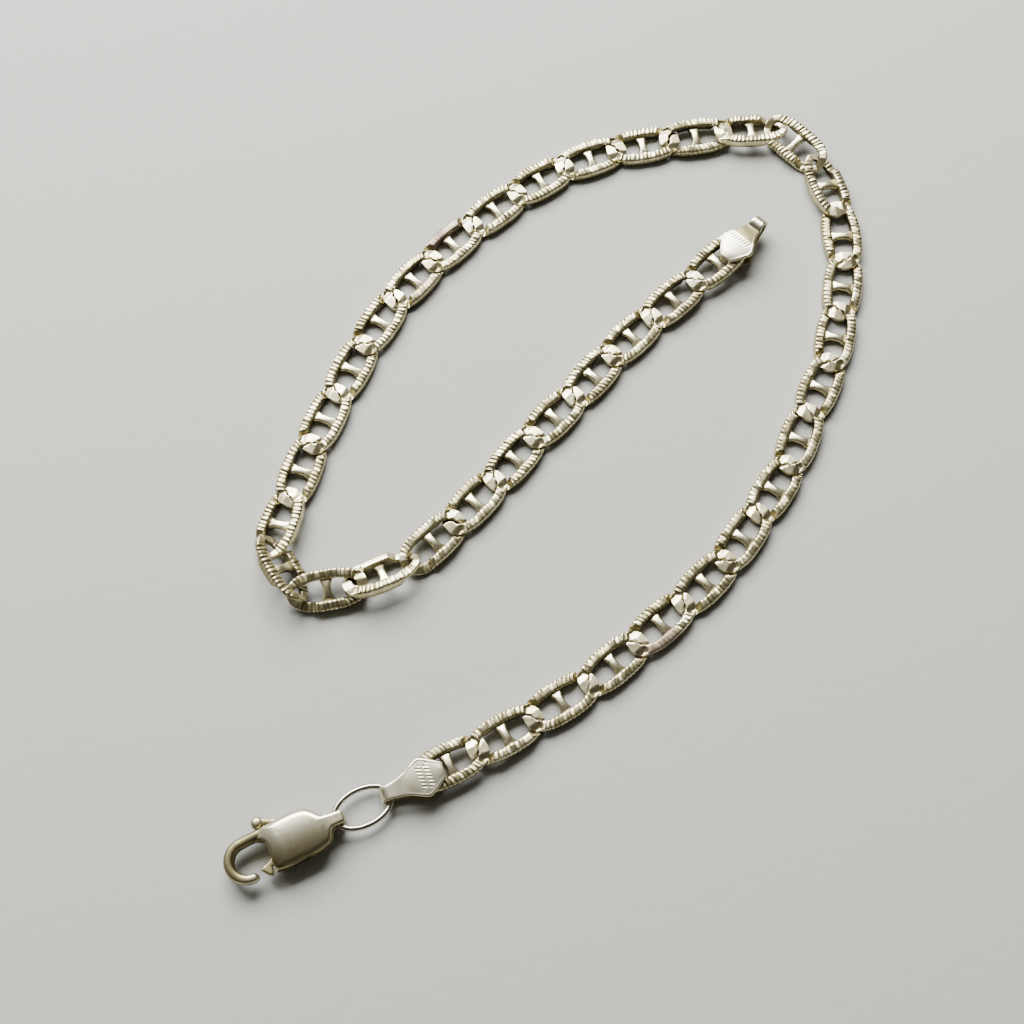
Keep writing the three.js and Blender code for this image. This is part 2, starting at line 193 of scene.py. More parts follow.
# The poses of all links. A link's crossing arms turn its principal axes about x by an angle that a link
# lying flat shows, and the low bar puts its middle a little below its middle plane.
def linkPoses(count, flatLink):
    found = [principalFrame(f"link_{n:02d}") for n in range(1, count + 1)]
    middles = np.array([m for m, a in found])
    along = np.gradient(middles, axis=0)
    poses = [pointed(m, a, way) for (m, a), way in zip(found, along)]
    tilt = {}
    for n in (flatLink, flatLink + 1):
        axes = poses[n - 1][1]
        tilt[n % 2] = -np.arctan2(axes[2, 1], axes[2, 2])
    low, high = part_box(f"link_{flatLink:02d}")
    drop = (low[2] + high[2]) / 2 / mm - poses[flatLink - 1][0][2]
    straight = []
    for n, (middle, axes) in enumerate(poses, 1):
        c, s = np.cos(tilt[n % 2]), np.sin(tilt[n % 2])
        turned = axes @ np.array([[1, 0, 0], [0, c, -s], [0, s, c]])
        straight.append((middle + turned[:, 2] * drop, turned))
    return straight


linkCount = sum(1 for n in nodes if n.startswith("link_"))
links = linkPoses(linkCount, flatLink=5)
print("links found:", linkCount)


# film: the most tarnish in a patch that has no mark. uneven: the least share of a mark that shows.
# patchy: how much roughness varies.
silverLook = {
    "bright": {"clean": (0.87, 0.805, 0.55, 1), "roughness": 0.25, "grain": 0.6, "film": 0.24,
               "uneven": 0.7, "patchy": 0.1},
    "satin": {"clean": (0.84, 0.80, 0.63, 1), "roughness": 0.27, "grain": 0.12, "film": 0.05,
              "uneven": 0.8, "patchy": 0.03},
    "grey": {"clean": (0.60, 0.565, 0.52, 1), "roughness": 0.2, "grain": 0.12, "film": 0.1,
             "uneven": 0.8, "patchy": 0.03},
    # olive and black are reached both by real tarnish and by the painted shade that the same mark carries
    "olive": (0.40, 0.355, 0.19, 1),      # half tarnished
    "black": (0.055, 0.045, 0.026, 1),    # in recesses
    "stain": (0.17, 0.115, 0.10, 1),      # purple brown
    "tarnishRoughness": 0.18,             # how much rougher full tarnish is than clean metal
    "cloudScale": 520.0, "speckScale": 2900.0,
    "grainDepth": 0.00002,                # metres
}


# A new node with these values on its inputs
def addNode(tree, kind, **inputs):
    node = tree.nodes.new(kind)
    for key, value in inputs.items():
        node.inputs[key].default_value = value
    return node


# Two values of a node tree added or multiplied, and kept between 0 and 1
def worked(tree, how, first, second):
    node = tree.nodes.new("ShaderNodeMath")
    node.operation = how
    node.use_clamp = True
    for k, value in enumerate((first, second)):
        tree.links.new(value, node.inputs[k])
    return node.outputs["Value"]


# A noise run from two of its own levels to two others
def spread(tree, noise, fromMin, fromMax, toMin, toMax):
    levels = {"From Min": fromMin, "From Max": fromMax, "To Min": toMin, "To Max": toMax}
    node = addNode(tree, "ShaderNodeMapRange", **levels)
    tree.links.new(noise, node.inputs["Value"])
    return node.outputs["Result"]


# Silver: the tarnish-and-shade mark (real tarnish together with painted shade in recesses, on undersides
# and on shaded sides) times an uneven noise, plus a film of tarnish in patches, runs a ramp from clean
# metal over olive to black. The stain mark mixes in purple brown. Roughness rises with both, and fine dents
# are noise used as bump.
def silverMaterial(name, look):
    material = bpy.data.materials.new(name)
    material.use_nodes = True
    tree = material.node_tree
    shader = tree.nodes["Principled BSDF"]
    shader.inputs["Metallic"].default_value = 1.0
    place = tree.nodes.new("ShaderNodeTexCoord")
    cloud = addNode(tree, "ShaderNodeTexNoise", Scale=silverLook["cloudScale"], Detail=4.0, Roughness=0.6)
    speck = addNode(tree, "ShaderNodeTexNoise", Scale=silverLook["speckScale"], Detail=4.0, Roughness=0.6)
    for noise in (cloud, speck):
        tree.links.new(place.outputs["Object"], noise.inputs["Vector"])
    uneven = spread(tree, cloud.outputs["Fac"], 0.35, 0.65, look["uneven"], 1.0)
    film = spread(tree, cloud.outputs["Fac"], 0.42, 0.68, 0.0, look["film"])
    marks = {}
    for key in ("tarnishAndShade", "stain"):
        mark = tree.nodes.new("ShaderNodeAttribute")
        mark.attribute_name = key
        marks[key] = worked(tree, "MULTIPLY", mark.outputs["Fac"], uneven)
    tarnishAndShade = worked(tree, "ADD", marks["tarnishAndShade"], film)
    ramp = tree.nodes.new("ShaderNodeValToRGB")
    ramp.color_ramp.elements[0].color = look["clean"]
    ramp.color_ramp.elements[1].color = silverLook["black"]
    ramp.color_ramp.elements.new(0.5).color = silverLook["olive"]
    tree.links.new(tarnishAndShade, ramp.inputs["Fac"])
    mix = tree.nodes.new("ShaderNodeMix")
    mix.data_type = "RGBA"
    mix.inputs["B"].default_value = silverLook["stain"]
    tree.links.new(marks["stain"], mix.inputs["Factor"])
    tree.links.new(ramp.outputs["Color"], mix.inputs["A"])
    tree.links.new(mix.outputs["Result"], shader.inputs["Base Color"])
    both = worked(tree, "ADD", tarnishAndShade, marks["stain"])
    base = look["roughness"]
    rough = spread(tree, both, 0.0, 1.0, base, base + silverLook["tarnishRoughness"])
    vary = spread(tree, speck.outputs["Fac"], 0.35, 0.7, 0.0, look["patchy"])
    tree.links.new(worked(tree, "ADD", rough, vary), shader.inputs["Roughness"])
    bump = addNode(tree, "ShaderNodeBump", Strength=look["grain"], Distance=silverLook["grainDepth"])
    tree.links.new(speck.outputs["Fac"], bump.inputs["Height"])
    tree.links.new(bump.outputs["Normal"], shader.inputs["Normal"])
    return material


brightSilver = silverMaterial("bright_silver", silverLook["bright"])
satinSilver = silverMaterial("satin_silver", silverLook["satin"])
greySilver = silverMaterial("grey_silver", silverLook["grey"])

linkLook = {
    "length": 6.25, "width": 3.2, "height": 0.9,
    "armWidth": 0.8,
    "noseWidth": 0.84,          # of the rim at a tip that is pressed against the next link's tip
    "slimWidth": 0.62,          # at a sharp bend, where the tips stand apart
    "slimOver": (0.85, 1.55),   # there the arms lose half their height between these distances along
    "lapGap": 0.05,             # half the height between the upper and the lower arm there
    "crossing": 0.42,           # and how far to the side one arm has become the other
    "linePower": 2.5, "outerPower": 2.8, "sectionPower": 4.2,
    "crown": 0.04,              # how far the outer edge lies below the inner one
    "ribSpacing": 0.34, "ribDepth": 0.085, "ribRound": 0.9, "ribSlant": (0.05, 0.4), "ribRows": 8,
    "ribStray": 0.18,           # how far a groove strays from its even place, for one rib
    "ribCut": (0.5, 1.3),       # shallowest and deepest groove, for the depth above
    "ribLean": 0.05, "ribSink": (-0.02, 0.008), "ribTilt": (-0.07, 0.05),
    "grooveBite": 0.07,         # how far a groove cuts into the outer edge
    "ribsEnd": (2.5, 2.2),      # ribs fade out between these distances along the link
    "columns": 26,
    "gap": 0.05,                # the dark line between two tips
    "pressSlant": 1.0,          # how far that line slants on top, across for along
    "pressReach": 0.85,         # where one arm is wholly above the other
    "sharpBend": 20,            # degrees, from which the tips stand apart
    "noseTop": 0.4, "noseFlat": 0.42, "noseFall": 0.5, "noseDip": 0.16, "noseLeast": 0.08,
    "barReach": 0.98, "barWaist": 0.32, "barEnd": 0.5, "barTop": 0.26, "barBottom": -0.33,
    "barCrown": 0.16, "barRows": 25,
    # groove, under, side and bar are painted shade in the rib grooves, under the rim, on its sides and on
    # the bar's lower part; top is a light tarnish on the tops
    "tarnishAndShade": {"groove": 0.5, "top": 0.14, "under": 0.8, "side": 0.35, "bar": 0.95},
}

# Marks that age has left on single links: on which arm (+1 left), how strong, and from and to along it
stains = {
    22: {"arm": -1, "strength": 1.0, "along": (-2.2, 1.9)},
    5: {"arm": -1, "strength": 0.9, "along": (-2.6, 0.9)},
    23: {"arm": 1, "strength": 0.45, "along": (-2.0, 1.5)},
    1: {"arm": 1, "strength": 0.45, "along": (-1.8, 0.2)},
}

smoothArms = {31: 1}            # links whose ribs have worn off one arm
filmed = {29: 0.22}             # links with a film of tarnish all over


# Stain mark: full on one arm over a stretch of the link and fading at both ends of the stretch
def stainMark(number, local):
    mark = stains.get(number)
    if mark is None:
        return np.zeros(local.shape[:2])
    start, end = mark["along"]
    along = ease(local[..., 0], start, start + 0.5) * ease(local[..., 0], end, end - 0.5)
    return mark["strength"] * along * ease(mark["arm"] * local[..., 1], 0.3, 0.8)


# Rim of a link in its own frame: a squared oval as its middle line, and across that line squared sections
# from half a width inside it to half a width outside. The top falls by crown * share^2.2 towards the outer
# edge. Ribs lower the section by 1 - |sin|^round of the way along, which gives low round tops with sharp
# grooves between, deepest at the outer edge. They run a little slanted, and each rib leans, sinks and
# tilts its own way.
def linkRim(number, highSide, slimBack, slimFront):
    look = linkLook
    rng = np.random.default_rng(100 + number)
    halfHeight = look["height"] / 2
    frontWidth = look["slimWidth"] if slimFront else look["noseWidth"]
    backWidth = look["slimWidth"] if slimBack else look["noseWidth"]

    def middleLine(angles):
        x, y = squaredCircle(angles, look["linePower"])
        tip = np.where(np.cos(angles) > 0, frontWidth, backWidth)
        across = y * (look["width"] - look["armWidth"]) / 2
        return np.stack([x * (look["length"] - tip) / 2, across], -1), tip

    dense = np.linspace(0, 2 * np.pi, 3001)
    way = np.concatenate([[0], np.cumsum(np.linalg.norm(np.diff(middleLine(dense)[0], axis=0), axis=1))])
    ribs = 2 * int(round(way[-1] / look["ribSpacing"] / 2))
    rows = ribs * look["ribRows"]
    s = np.arange(rows) / rows * way[-1]
    middle, tip = middleLine(np.interp(s, way, dense))
    tangent = unit(np.roll(middle, -2, 0) - np.roll(middle, 2, 0))
    outwards = np.stack([tangent[:, 1], -tangent[:, 0]], -1)
    x, y = middle[:, 0], middle[:, 1]
    half = (look["armWidth"] + (tip - look["armWidth"]) * ease(np.abs(x), 1.9, 2.6))[:, None] / 2

    # where the tips stand apart the arms keep half their height, one above and the other below
    high = (1 + highSide * np.clip(y / look["crossing"], -1, 1)) / 2
    slim = np.where(x > 0, slimFront, slimBack) * ease(np.abs(x), *look["slimOver"])
    lap = look["lapGap"]
    top = halfHeight + slim * ((-lap + (halfHeight + lap) * high) - halfHeight)
    bottom = -halfHeight + slim * ((-halfHeight + (halfHeight + lap) * high) + halfHeight)

    c, v = squaredCircle(np.linspace(0, 2 * np.pi, look["columns"], endpoint=False), look["sectionPower"])
    c, v = c[None], v[None]
    outward = (c + 1) / 2
    stray = rng.uniform(-look["ribStray"], look["ribStray"], ribs - 1)
    edges = np.arange(ribs + 1) + np.concatenate([[0], stray, [0]])
    slant = rng.uniform(*look["ribSlant"]) * rng.choice([-1, 1])
    ribNumber = np.interp(((s / way[-1] * ribs)[:, None] + slant * c) % ribs, edges, np.arange(ribs + 1))
    which = np.floor(ribNumber).astype(int) % ribs
    ribbed = ease(np.abs(x), *look["ribsEnd"]) * (1 - 0.7 * stainMark(number, middle[:, None])[:, 0])
    if number in smoothArms:
        ribbed = ribbed * ease(smoothArms[number] * y, 0.8, 0.3)
    ribbed = ribbed[:, None]
    groove = 1 - np.abs(np.sin(np.pi * ribNumber)) ** look["ribRound"]
    cut = groove * ribbed * rng.uniform(*look["ribCut"], ribs)[which]
    lean = (ribNumber % 1 - 0.5) * rng.uniform(-look["ribLean"], look["ribLean"], ribs)[which] * ribbed
    sink = rng.uniform(*look["ribSink"], ribs)[which] * ribbed
    tilt = rng.uniform(*look["ribTilt"], ribs)[which] * ribbed

    u = c * half - look["grooveBite"] * cut * ease(c, 0.2, 1.0) * ease(v, -0.6, 0.2)
    drop = look["crown"] * outward ** 2.2 * ease(np.abs(x), 2.5, 2.1)[:, None]
    drop = drop + look["ribDepth"] * cut * (0.5 + 0.8 * outward) - (lean + sink) + tilt * c
    height = (top - bottom)[:, None] / 2 - drop * np.where(v > 0, 1, 0.4)
    z = ((top + bottom) / 2)[:, None] + v * height
    plan = middle[:, None] + outwards[:, None] * u[..., None]
    points = np.concatenate([plan, z[..., None]], -1)

    # painted shade: the grooves and the inner walls are darkest, and the underside and sides in between;
    # the tops carry only a light tarnish and are nearly clean
    dark = look["tarnishAndShade"]
    onTop = ease(v, 0.35, 0.95)
    inside = ease(-c, 0.75, 0.97) * (1 - 0.8 * onTop)
    under = ease(-v, -0.1, 0.7)
    topLevel = dark["top"] + 0.06 * ribbed * (1.2 - outward)
    tarnishAndShade = dark["groove"] * cut * onTop + onTop * topLevel + inside
    tarnishAndShade = np.maximum(tarnishAndShade, np.maximum(dark["under"] * under, dark["side"] * (1 - onTop)))
    return points, np.clip(tarnishAndShade, 0, 1)


# Nose at each pressed tip: top and bottom are each one flat face that dips outwards, with a bevel falling
# to either side, |z| <= top - dip * out - fall * (|y| - flat)
def cutNoses(points, slimBack, slimFront):
    look = linkLook
    x, y, z = points[..., 0], points[..., 1], points[..., 2]
    for way, slim in ((1, slimFront), (-1, slimBack)):
        if slim:
            continue
        out = way * x
        near = ease(out, 2.0, 2.2) * ease(np.abs(y), 1.1, 0.85)
        roof = look["noseTop"] - look["noseDip"] * np.clip(out - 2.4, 0, 1)
        roof = roof - look["noseFall"] * np.clip(np.abs(y) - look["noseFlat"], 0, 1)
        roof = np.maximum(roof, look["noseLeast"])
        z = z + near * (np.clip(z, -roof, roof) - z)
    return np.stack([x, y, z], -1)


# Frame of the joint between two linked links: half way between them, with the mean of their directions
def jointFrame(n):
    (ca, ra), (cb, rb) = links[n - 1], links[n]
    reach = np.linalg.norm(cb - ca) / 2
    place = (ca + ra[:, 0] * reach + cb - rb[:, 0] * reach) / 2
    z = unit(ra[:, 2] + rb[:, 2])
    x = ra[:, 0] + rb[:, 0]
    x = unit(x - z * (x @ z))
    return place, np.stack([x, np.cross(z, x), z], -1)


# Angle between a link's direction and the next one's, in degrees
def bendAt(n):
    return np.degrees(np.arccos(np.clip(links[n - 1][1][:, 0] @ links[n][1][:, 0], -1, 1)))


# Inside its neighbour's outline a link keeps to its own side of a dividing face, x cos t + z sin t = 0.
# Across the joint t turns from +90 to -90 degrees so that, at the height of the top, the face shows as a
# straight slanted line.
def pressAgainst(points, n, side, highSide):
    look = linkLook
    place, axes = jointFrame(n)
    middle, otherAxes = links[n] if side > 0 else links[n - 1]
    q = (points - place) @ axes
    reach = look["pressReach"]
    share = np.clip(q[..., 1] / reach, -0.999, 0.999)
    turn = highSide * np.arctan(look["pressSlant"] * share * reach / look["noseTop"] / (1 - share ** 4))
    distance = q[..., 0] * np.cos(turn) + q[..., 2] * np.sin(turn)
    over = np.clip(look["gap"] / 2 - side * distance, 0, None)
    other = (points - middle) @ otherAxes
    power = look["outerPower"]
    grow = look["gap"]
    level = (np.abs(other[..., 0]) / (look["length"] / 2 + grow)) ** power
    level = level + (np.abs(other[..., 1]) / (look["width"] / 2 + grow)) ** power
    move = side * over * ease(level, 1.24, 1.0)
    q[..., 0] += move * np.cos(turn)
    q[..., 2] += move * np.sin(turn)
    return q @ axes.T + place


# Centre bar: a squared tube across the link, waisted in the middle. Its top falls by crown * (y/0.86)^2,
# and below its top it is darkened with painted shade.
def linkBar():
    look = linkLook
    y = np.linspace(-look["barReach"], look["barReach"], look["barRows"])
    flare = ease(np.abs(y), 0.25, 0.85)
    top = look["barTop"] - look["barCrown"] * (np.abs(y) / 0.86) ** 2
    path = np.stack([0 * y, y, (top + look["barBottom"]) / 2], -1)
    halfSide = look["barWaist"] + (look["barEnd"] - look["barWaist"]) * flare
    points = tube(path, halfSide, (top - look["barBottom"]) / 2, power=3.0, columns=24)
    level = (points[..., 2] - look["barBottom"]) / (top - look["barBottom"])[:, None]
    return points, look["tarnishAndShade"]["bar"] * ease(level, 0.85, 0.5)


# Points from a piece's own frame to the bracelet's: turned by its axes and moved to its middle
def toFrame(points, pose):
    middle, axes = pose
    return points @ axes.T + middle


# A link: its bar, and its rim with cut noses, pressed against its neighbours where the chain bends little
def makeLink(number):
    highSide = 1 if number % 2 == 0 else -1
    sharp = linkLook["sharpBend"]
    slimBack = number > 1 and bendAt(number - 1) > sharp
    slimFront = number < linkCount and bendAt(number) > sharp
    local, tarnishAndShade = linkRim(number, highSide, slimBack, slimFront)
    tarnishAndShade = np.clip(tarnishAndShade + filmed.get(number, 0), 0, 1)
    stain = stainMark(number, local)
    local = cutNoses(local, slimBack, slimFront)
    points = toFrame(local, links[number - 1])
    if number < linkCount and not slimFront:
        points = pressAgainst(points, number, 1, highSide)
    if number > 1 and not slimBack:
        points = pressAgainst(points, number - 1, -1, -highSide)
    bar, barShade = linkBar()
    barMarks = {"tarnishAndShade": barShade, "stain": stainMark(number, bar)}
    grids = [(points, True, {"tarnishAndShade": tarnishAndShade, "stain": stain}),
             (toFrame(bar, links[number - 1]), False, barMarks)]
    node = f"link_{number:02d}"
    makePiece(node + "_silver", grids, "bracelet", [node], brightSilver)


for number in range(1, linkCount + 1):
    makeLink(number)
print("links made")


tabLook = {
    "sheet": 0.33, "halfHeight": 0.88, "length": 5.05, "loopDrop": 0.1,
    "dome": 0.07,               # how far the edges of the upper face lie below its middle
    "crimp": 3.75,              # where the upper layer is pressed down to the height in tabLies
    "padMiddle": 1.25, "padRadius": 0.45, "padHalf": 0.6,   # post between the two layers, inside the link
    "tipFall": (0.7, 0.1),      # from this far along, the face falls by this much to its blunt point
    "rolledRim": {"inset": 0.12, "wide": 0.09, "high": 0.02},
    "endRound": 0.08,           # rounding of the two cut ends of the strip
    "strokes": {"rowGap": 0.55, "across": 0.27, "slant": 0.45, "half": 0.95, "deep": 0.035},
    "rows": 230, "columns": 116,
    # stroke darkens the stamped strokes; edge, inside and post are painted shade along the edges, on the
    # inner side of the sheet and on the post between the layers
    "tarnishAndShade": {"stroke": 0.4, "edge": 0.45, "inside": 0.8, "post": 0.9},
}

# Half width of the strip along the tab, from the blunt point to the loop
tabPlan = {"along": [0, 0.04, 0.5, 1.0, 1.5, 1.75, 2.2, 2.8, 3.4, 4.2, 5.05],
           "half": [0.46, 0.56, 0.88, 1.2, 1.48, 1.48, 1.26, 0.92, 0.71, 0.57, 0.5]}

# How each tab lies on its end link: which way it faces, how far it is moved along and to the side, its
# turn in degrees, the height of its crimp, where its strokes start and in how many rows, and how much
# painted shade darkens its neck
tabLies = {
    "tab_clasp_end": {"link": 1, "facing": -1, "past": 0.45, "aside": 0.25, "turn": -3,
                      "crimp": 0.5, "strokes": (0.95, 2), "neckShade": 0.1},
    "tab_free_end": {"link": linkCount, "facing": 1, "past": 0.42, "aside": -0.42, "turn": 6,
                     "crimp": 0.24, "strokes": (1.75, 1), "neckShade": 0.58},
}


# Side view of the folded strip, middle of its thickness: straight along the underside, half a circle
# round the loop, then cubic curves down to the crimp and up over the link to the other blunt point
def tabPath(rows, crimpHeight):
    look = tabLook
    crimp = np.array([look["crimp"], crimpHeight])
    level = look["halfHeight"] - look["sheet"] / 2
    loop = look["length"] - look["halfHeight"] + look["loopDrop"]
    radius = level - look["loopDrop"]
    under = [(0.02, -level), (loop, -level)]
    turn = np.linspace(-np.pi / 2, np.pi / 2, 40)
    bend = np.stack([loop + radius * np.cos(turn), -look["loopDrop"] + radius * np.sin(turn)], -1)
    t = np.linspace(0, 1, 30)
    topLoop = bend[-1]
    down = bezier([topLoop, topLoop - [0.25, 0], crimp + [0.16, -0.02], crimp], t)
    rise = bezier([crimp, crimp + [-0.2, 0.02], (2.75, level - 0.05), (2.25, level)], t)
    side = np.concatenate([under, bend, down[1:], rise[1:], [(0.02, level)]])
    return evenly(side, rows)


# Short slanted strokes in rows across the wide part: 1 in the middle of a stroke and 0 outside, by the
# distance from the middle of the nearest row and of the nearest stroke
def tabStrokes(along, across, start, rows):
    mark = tabLook["strokes"]
    row = (along - start) / mark["rowGap"]
    inRow = ease(np.abs(row % 1 - 0.5), 0.42, 0.3) * (row > 0) * (row < rows)
    place = (across + mark["slant"] * along) / mark["across"]
    stroke = ease(np.abs(place % 1 - 0.5), 0.22, 0.04)
    return inRow * stroke * ease(np.abs(across), mark["half"], mark["half"] - 0.08)


# Half width of the strip at places along the tab: the table, smoothed by the mean of eleven neighbours
def tabHalfWidth(along):
    dense = np.linspace(0, tabLook["length"], 400)
    plan = np.interp(dense, tabPlan["along"], tabPlan["half"])
    plan = np.convolve(np.pad(plan, 5, "edge"), np.ones(11) / 11, "valid")
    return np.interp(along, dense, plan)


# Strip along that path: across it the sheet keeps its thickness up to rounded edges, (1 - |y|^p)^(1/3)
# with a power p that rises with the strip's width. The upper face falls from its middle by dome * y^2 and
# a little more towards the blunt point, and its rim is rolled up slightly just inside the edge.
def makeTab(name):
    look, lie = tabLook, tabLies[name]
    path = tabPath(look["rows"], lie["crimp"])
    tangent = np.gradient(path, axis=0)
    inward = unit(np.stack([-tangent[:, 1], tangent[:, 0]], -1))
    half = tabHalfWidth(path[:, 0])[:, None]
    fromEnd = np.clip((path[:, 0] - 0.01) / look["endRound"], 0, 1)
    endShare = np.sqrt(np.clip(1 - (1 - fromEnd) ** 2, 0.01, 1))
    angle = np.linspace(0, 2 * np.pi, look["columns"], endpoint=False)[None]
    y = np.cos(angle)
    thin = look["sheet"] / 2
    power = 2 + 2.5 * half / thin
    edgeShare = np.cbrt(np.clip(1 - np.abs(y) ** power, 0, 1))
    thickness = thin * edgeShare * np.sign(np.sin(angle)) * endShare[:, None]
    across = y * half
    along = path[:, 0][:, None]
    upper = ease(path[:, 1], 0.1, 0.5)[:, None] * ease(along, 3.3, 2.4)
    outside = np.sin(angle) > 0
    strokes = tabStrokes(along, across, *lie["strokes"]) * upper * outside
    fallFrom, fallBy = look["tipFall"]
    rolled = look["rolledRim"]
    rim = np.exp(-((half - np.abs(across) - rolled["inset"]) / rolled["wide"]) ** 2)
    shift = upper * (look["dome"] * y ** 2 + fallBy * np.clip(1 - along / fallFrom, 0, 1) ** 2)
    shift = shift - rolled["high"] * upper * rim + look["strokes"]["deep"] * strokes - thickness
    x = along + inward[:, 0][:, None] * shift
    z = path[:, 1][:, None] + inward[:, 1][:, None] * shift
    points = np.stack([x, across, z], -1)

    # the stamped strokes are darker; the edges, the neck and the inner side of the sheet are darkened with
    # painted shade
    dark = look["tarnishAndShade"]
    edge = ease(half - np.abs(across), 0.05, 0.0)
    neck = ease(along, 2.25, 2.5) * ease(along, 3.95, 3.75) * ease(path[:, 1], -0.1, 0.1)[:, None]
    tarnishAndShade = np.maximum(dark["stroke"] * strokes, dark["edge"] * edge)
    tarnishAndShade = np.maximum(tarnishAndShade, lie["neckShade"] * neck)
    tarnishAndShade = np.maximum(tarnishAndShade, dark["inside"] * ~outside)

    # the post between the two layers is darkened with painted shade
    postLine = [(look["padMiddle"], 0, z) for z in (-look["padHalf"], 0.0, look["padHalf"])]
    post = tube(postLine, look["padRadius"], look["padRadius"], up=(1.0, 0.0, 0.0))
    post = post + [0, -lie["aside"] - look["padMiddle"] * np.tan(np.radians(lie["turn"])), 0]

    turn = np.radians(lie["turn"]) + (np.pi if lie["facing"] < 0 else 0)
    c, s = np.cos(turn), np.sin(turn)
    spin = np.array([[c, -s, 0], [s, c, 0], [0, 0, 1]])
    move = np.array([lie["facing"] * lie["past"], lie["facing"] * lie["aside"], 0])
    pose = links[lie["link"] - 1]
    grids = [(toFrame(points @ spin.T + move, pose), False, {"tarnishAndShade": tarnishAndShade}),
             (toFrame(post @ spin.T + move, pose), False, {"tarnishAndShade": dark["post"]})]
    makePiece(name + "_silver", grids, "bracelet", [name], satinSilver, sharpAngle=60)


for name in tabLies:
    makeTab(name)
print("tabs made")


ringLook = {"wire": 0.42, "length": 4.77, "width": 3.07, "rows": 180, "columns": 20,
            "tarnishAndShade": {"top": 0.1, "under": 0.5}}


# Oval of round wire: the middle line is an ellipse in the ring's own plane
def makeRing():
    middle, axes = pointed(*principalFrame("jump_ring"), np.array([1.0, 0, 0]))
    a = np.linspace(0, 2 * np.pi, ringLook["rows"], endpoint=False)
    wire = ringLook["wire"] / 2
    halfLength, halfWidth = ringLook["length"] / 2 - wire, ringLook["width"] / 2 - wire
    path = np.stack([halfLength * np.cos(a), halfWidth * np.sin(a), 0 * a], -1)
    points = tube(path, wire, wire, columns=ringLook["columns"], closed=True)
    # the underside of the wire is darkened with painted shade, over a light tarnish all round
    under = ease(points[..., 2], 0.0, -wire)
    dark = ringLook["tarnishAndShade"]
    tarnishAndShade = dark["top"] + dark["under"] * under
    grids = [(toFrame(points, (middle, axes)), True, {"tarnishAndShade": tarnishAndShade})]
    makePiece("jump_ring_silver", grids, "bracelet", ["jump_ring"], greySilver)


makeRing()
print("ring made")


# The clasp is worked in its own frame, from its hinge: x runs towards the neck and y towards the back.
claspLook = {
    "heading": 23, "pivot": (-1.1, 0.35), "half": 1.1, "slot": 0.42,
    "rim": (0.5, 0.22),         # rounding of the edge of each face, on the body and at the neck
    "fall": (-1.7, -3.9, 0.5),  # the faces fall towards the hook: from x, to x, by how much
    "crown": {"across": 0.31, "along": 0.07, "neck": 0.24},   # and fall away from their middle
    "seam": 0.07,               # how deep the line between the two halves is
    "bodyCore": (-0.8, 0.6), "wallCore": (0.1, -0.95),
    "gateCore": (-2.98, -0.98), "thumbCore": (-1.45, 1.62),
    "hook": {"x": -4.42, "y": -0.05, "radius": 1.31, "half": 0.385, "halfUp": 0.63,
             "tip": -71, "round": 0.36, "slimBy": 0.12, "lowBy": 0.22},
    "neck": {"x": 2.32, "y": 0.22, "halfX": 0.48, "halfZ": 0.62, "wall": 0.16, "half": 0.42},
    "lever": 0.32, "leverRim": 0.12, "pin": 0.3, "pinHalf": 0.8, "hub": 0.66, "bore": 0.42,
    "knob": {"at": (-2.9, 2.18), "radius": 0.47, "half": 0.46},
    # the tones of the faces, hook, neck, gate, thumb and knob are given; the rest is painted shade: towards
    # the front edge, over the rims, on the lower face, in the set-back wall, on the pin and hub between the
    # halves, on the back and underside of the hook and under the knob
    "tarnishAndShade": {"face": 0.1, "frontShade": 0.38, "rim": 0.4, "back": 0.2, "lowerFaceShade": 0.6, "wall": 0.9,
                "hook": 0.42, "hookBackShade": 0.4, "hookUnderShade": 0.3, "neck": 0.4, "pin": 0.8,
                "hub": 0.6, "gate": 0.62, "thumb": 0.6, "knob": 0.42, "knobUnderShade": 0.4},
}

# Outlines in plan: for the body and its wall a run of curves, each given by its four controls, and for
# the two arms of the lever a run of points. Each is filled round its core.
bodyOutline = [
    [(-3.85, 1.12), (-3.85, 1.3), (-3.85, 1.5), (-3.85, 1.64)],
    [(-3.85, 1.64), (-2.6, 1.72), (-1.5, 1.86), (-0.4, 1.91)],
    [(-0.4, 1.91), (0.6, 1.94), (0.95, 1.6), (1.3, 1.12)],
    [(1.3, 1.12), (1.5, 0.78), (1.75, 0.74), (2.2, 0.71)],
    [(2.2, 0.71), (2.8, 0.72), (2.95, 0.68), (2.98, 0.55)],
    [(2.98, 0.55), (3.02, 0.4), (3.02, 0.04), (2.98, -0.12)],
    [(2.98, -0.12), (2.95, -0.26), (2.8, -0.28), (2.2, -0.27)],
    [(2.2, -0.27), (1.9, -0.26), (1.85, -0.5), (1.75, -0.72)],
    [(1.75, -0.72), (1.55, -1.5), (0.6, -1.62), (-0.8, -1.62)],
    [(-0.8, -1.62), (-1.6, -1.7), (-2.3, -1.68), (-2.72, -1.58)],
    [(-2.72, -1.58), (-2.82, -1.2), (-2.74, -0.5), (-2.76, 0.1)],
    [(-2.76, 0.1), (-2.78, 0.75), (-3.0, 0.86), (-3.85, 1.12)],
]
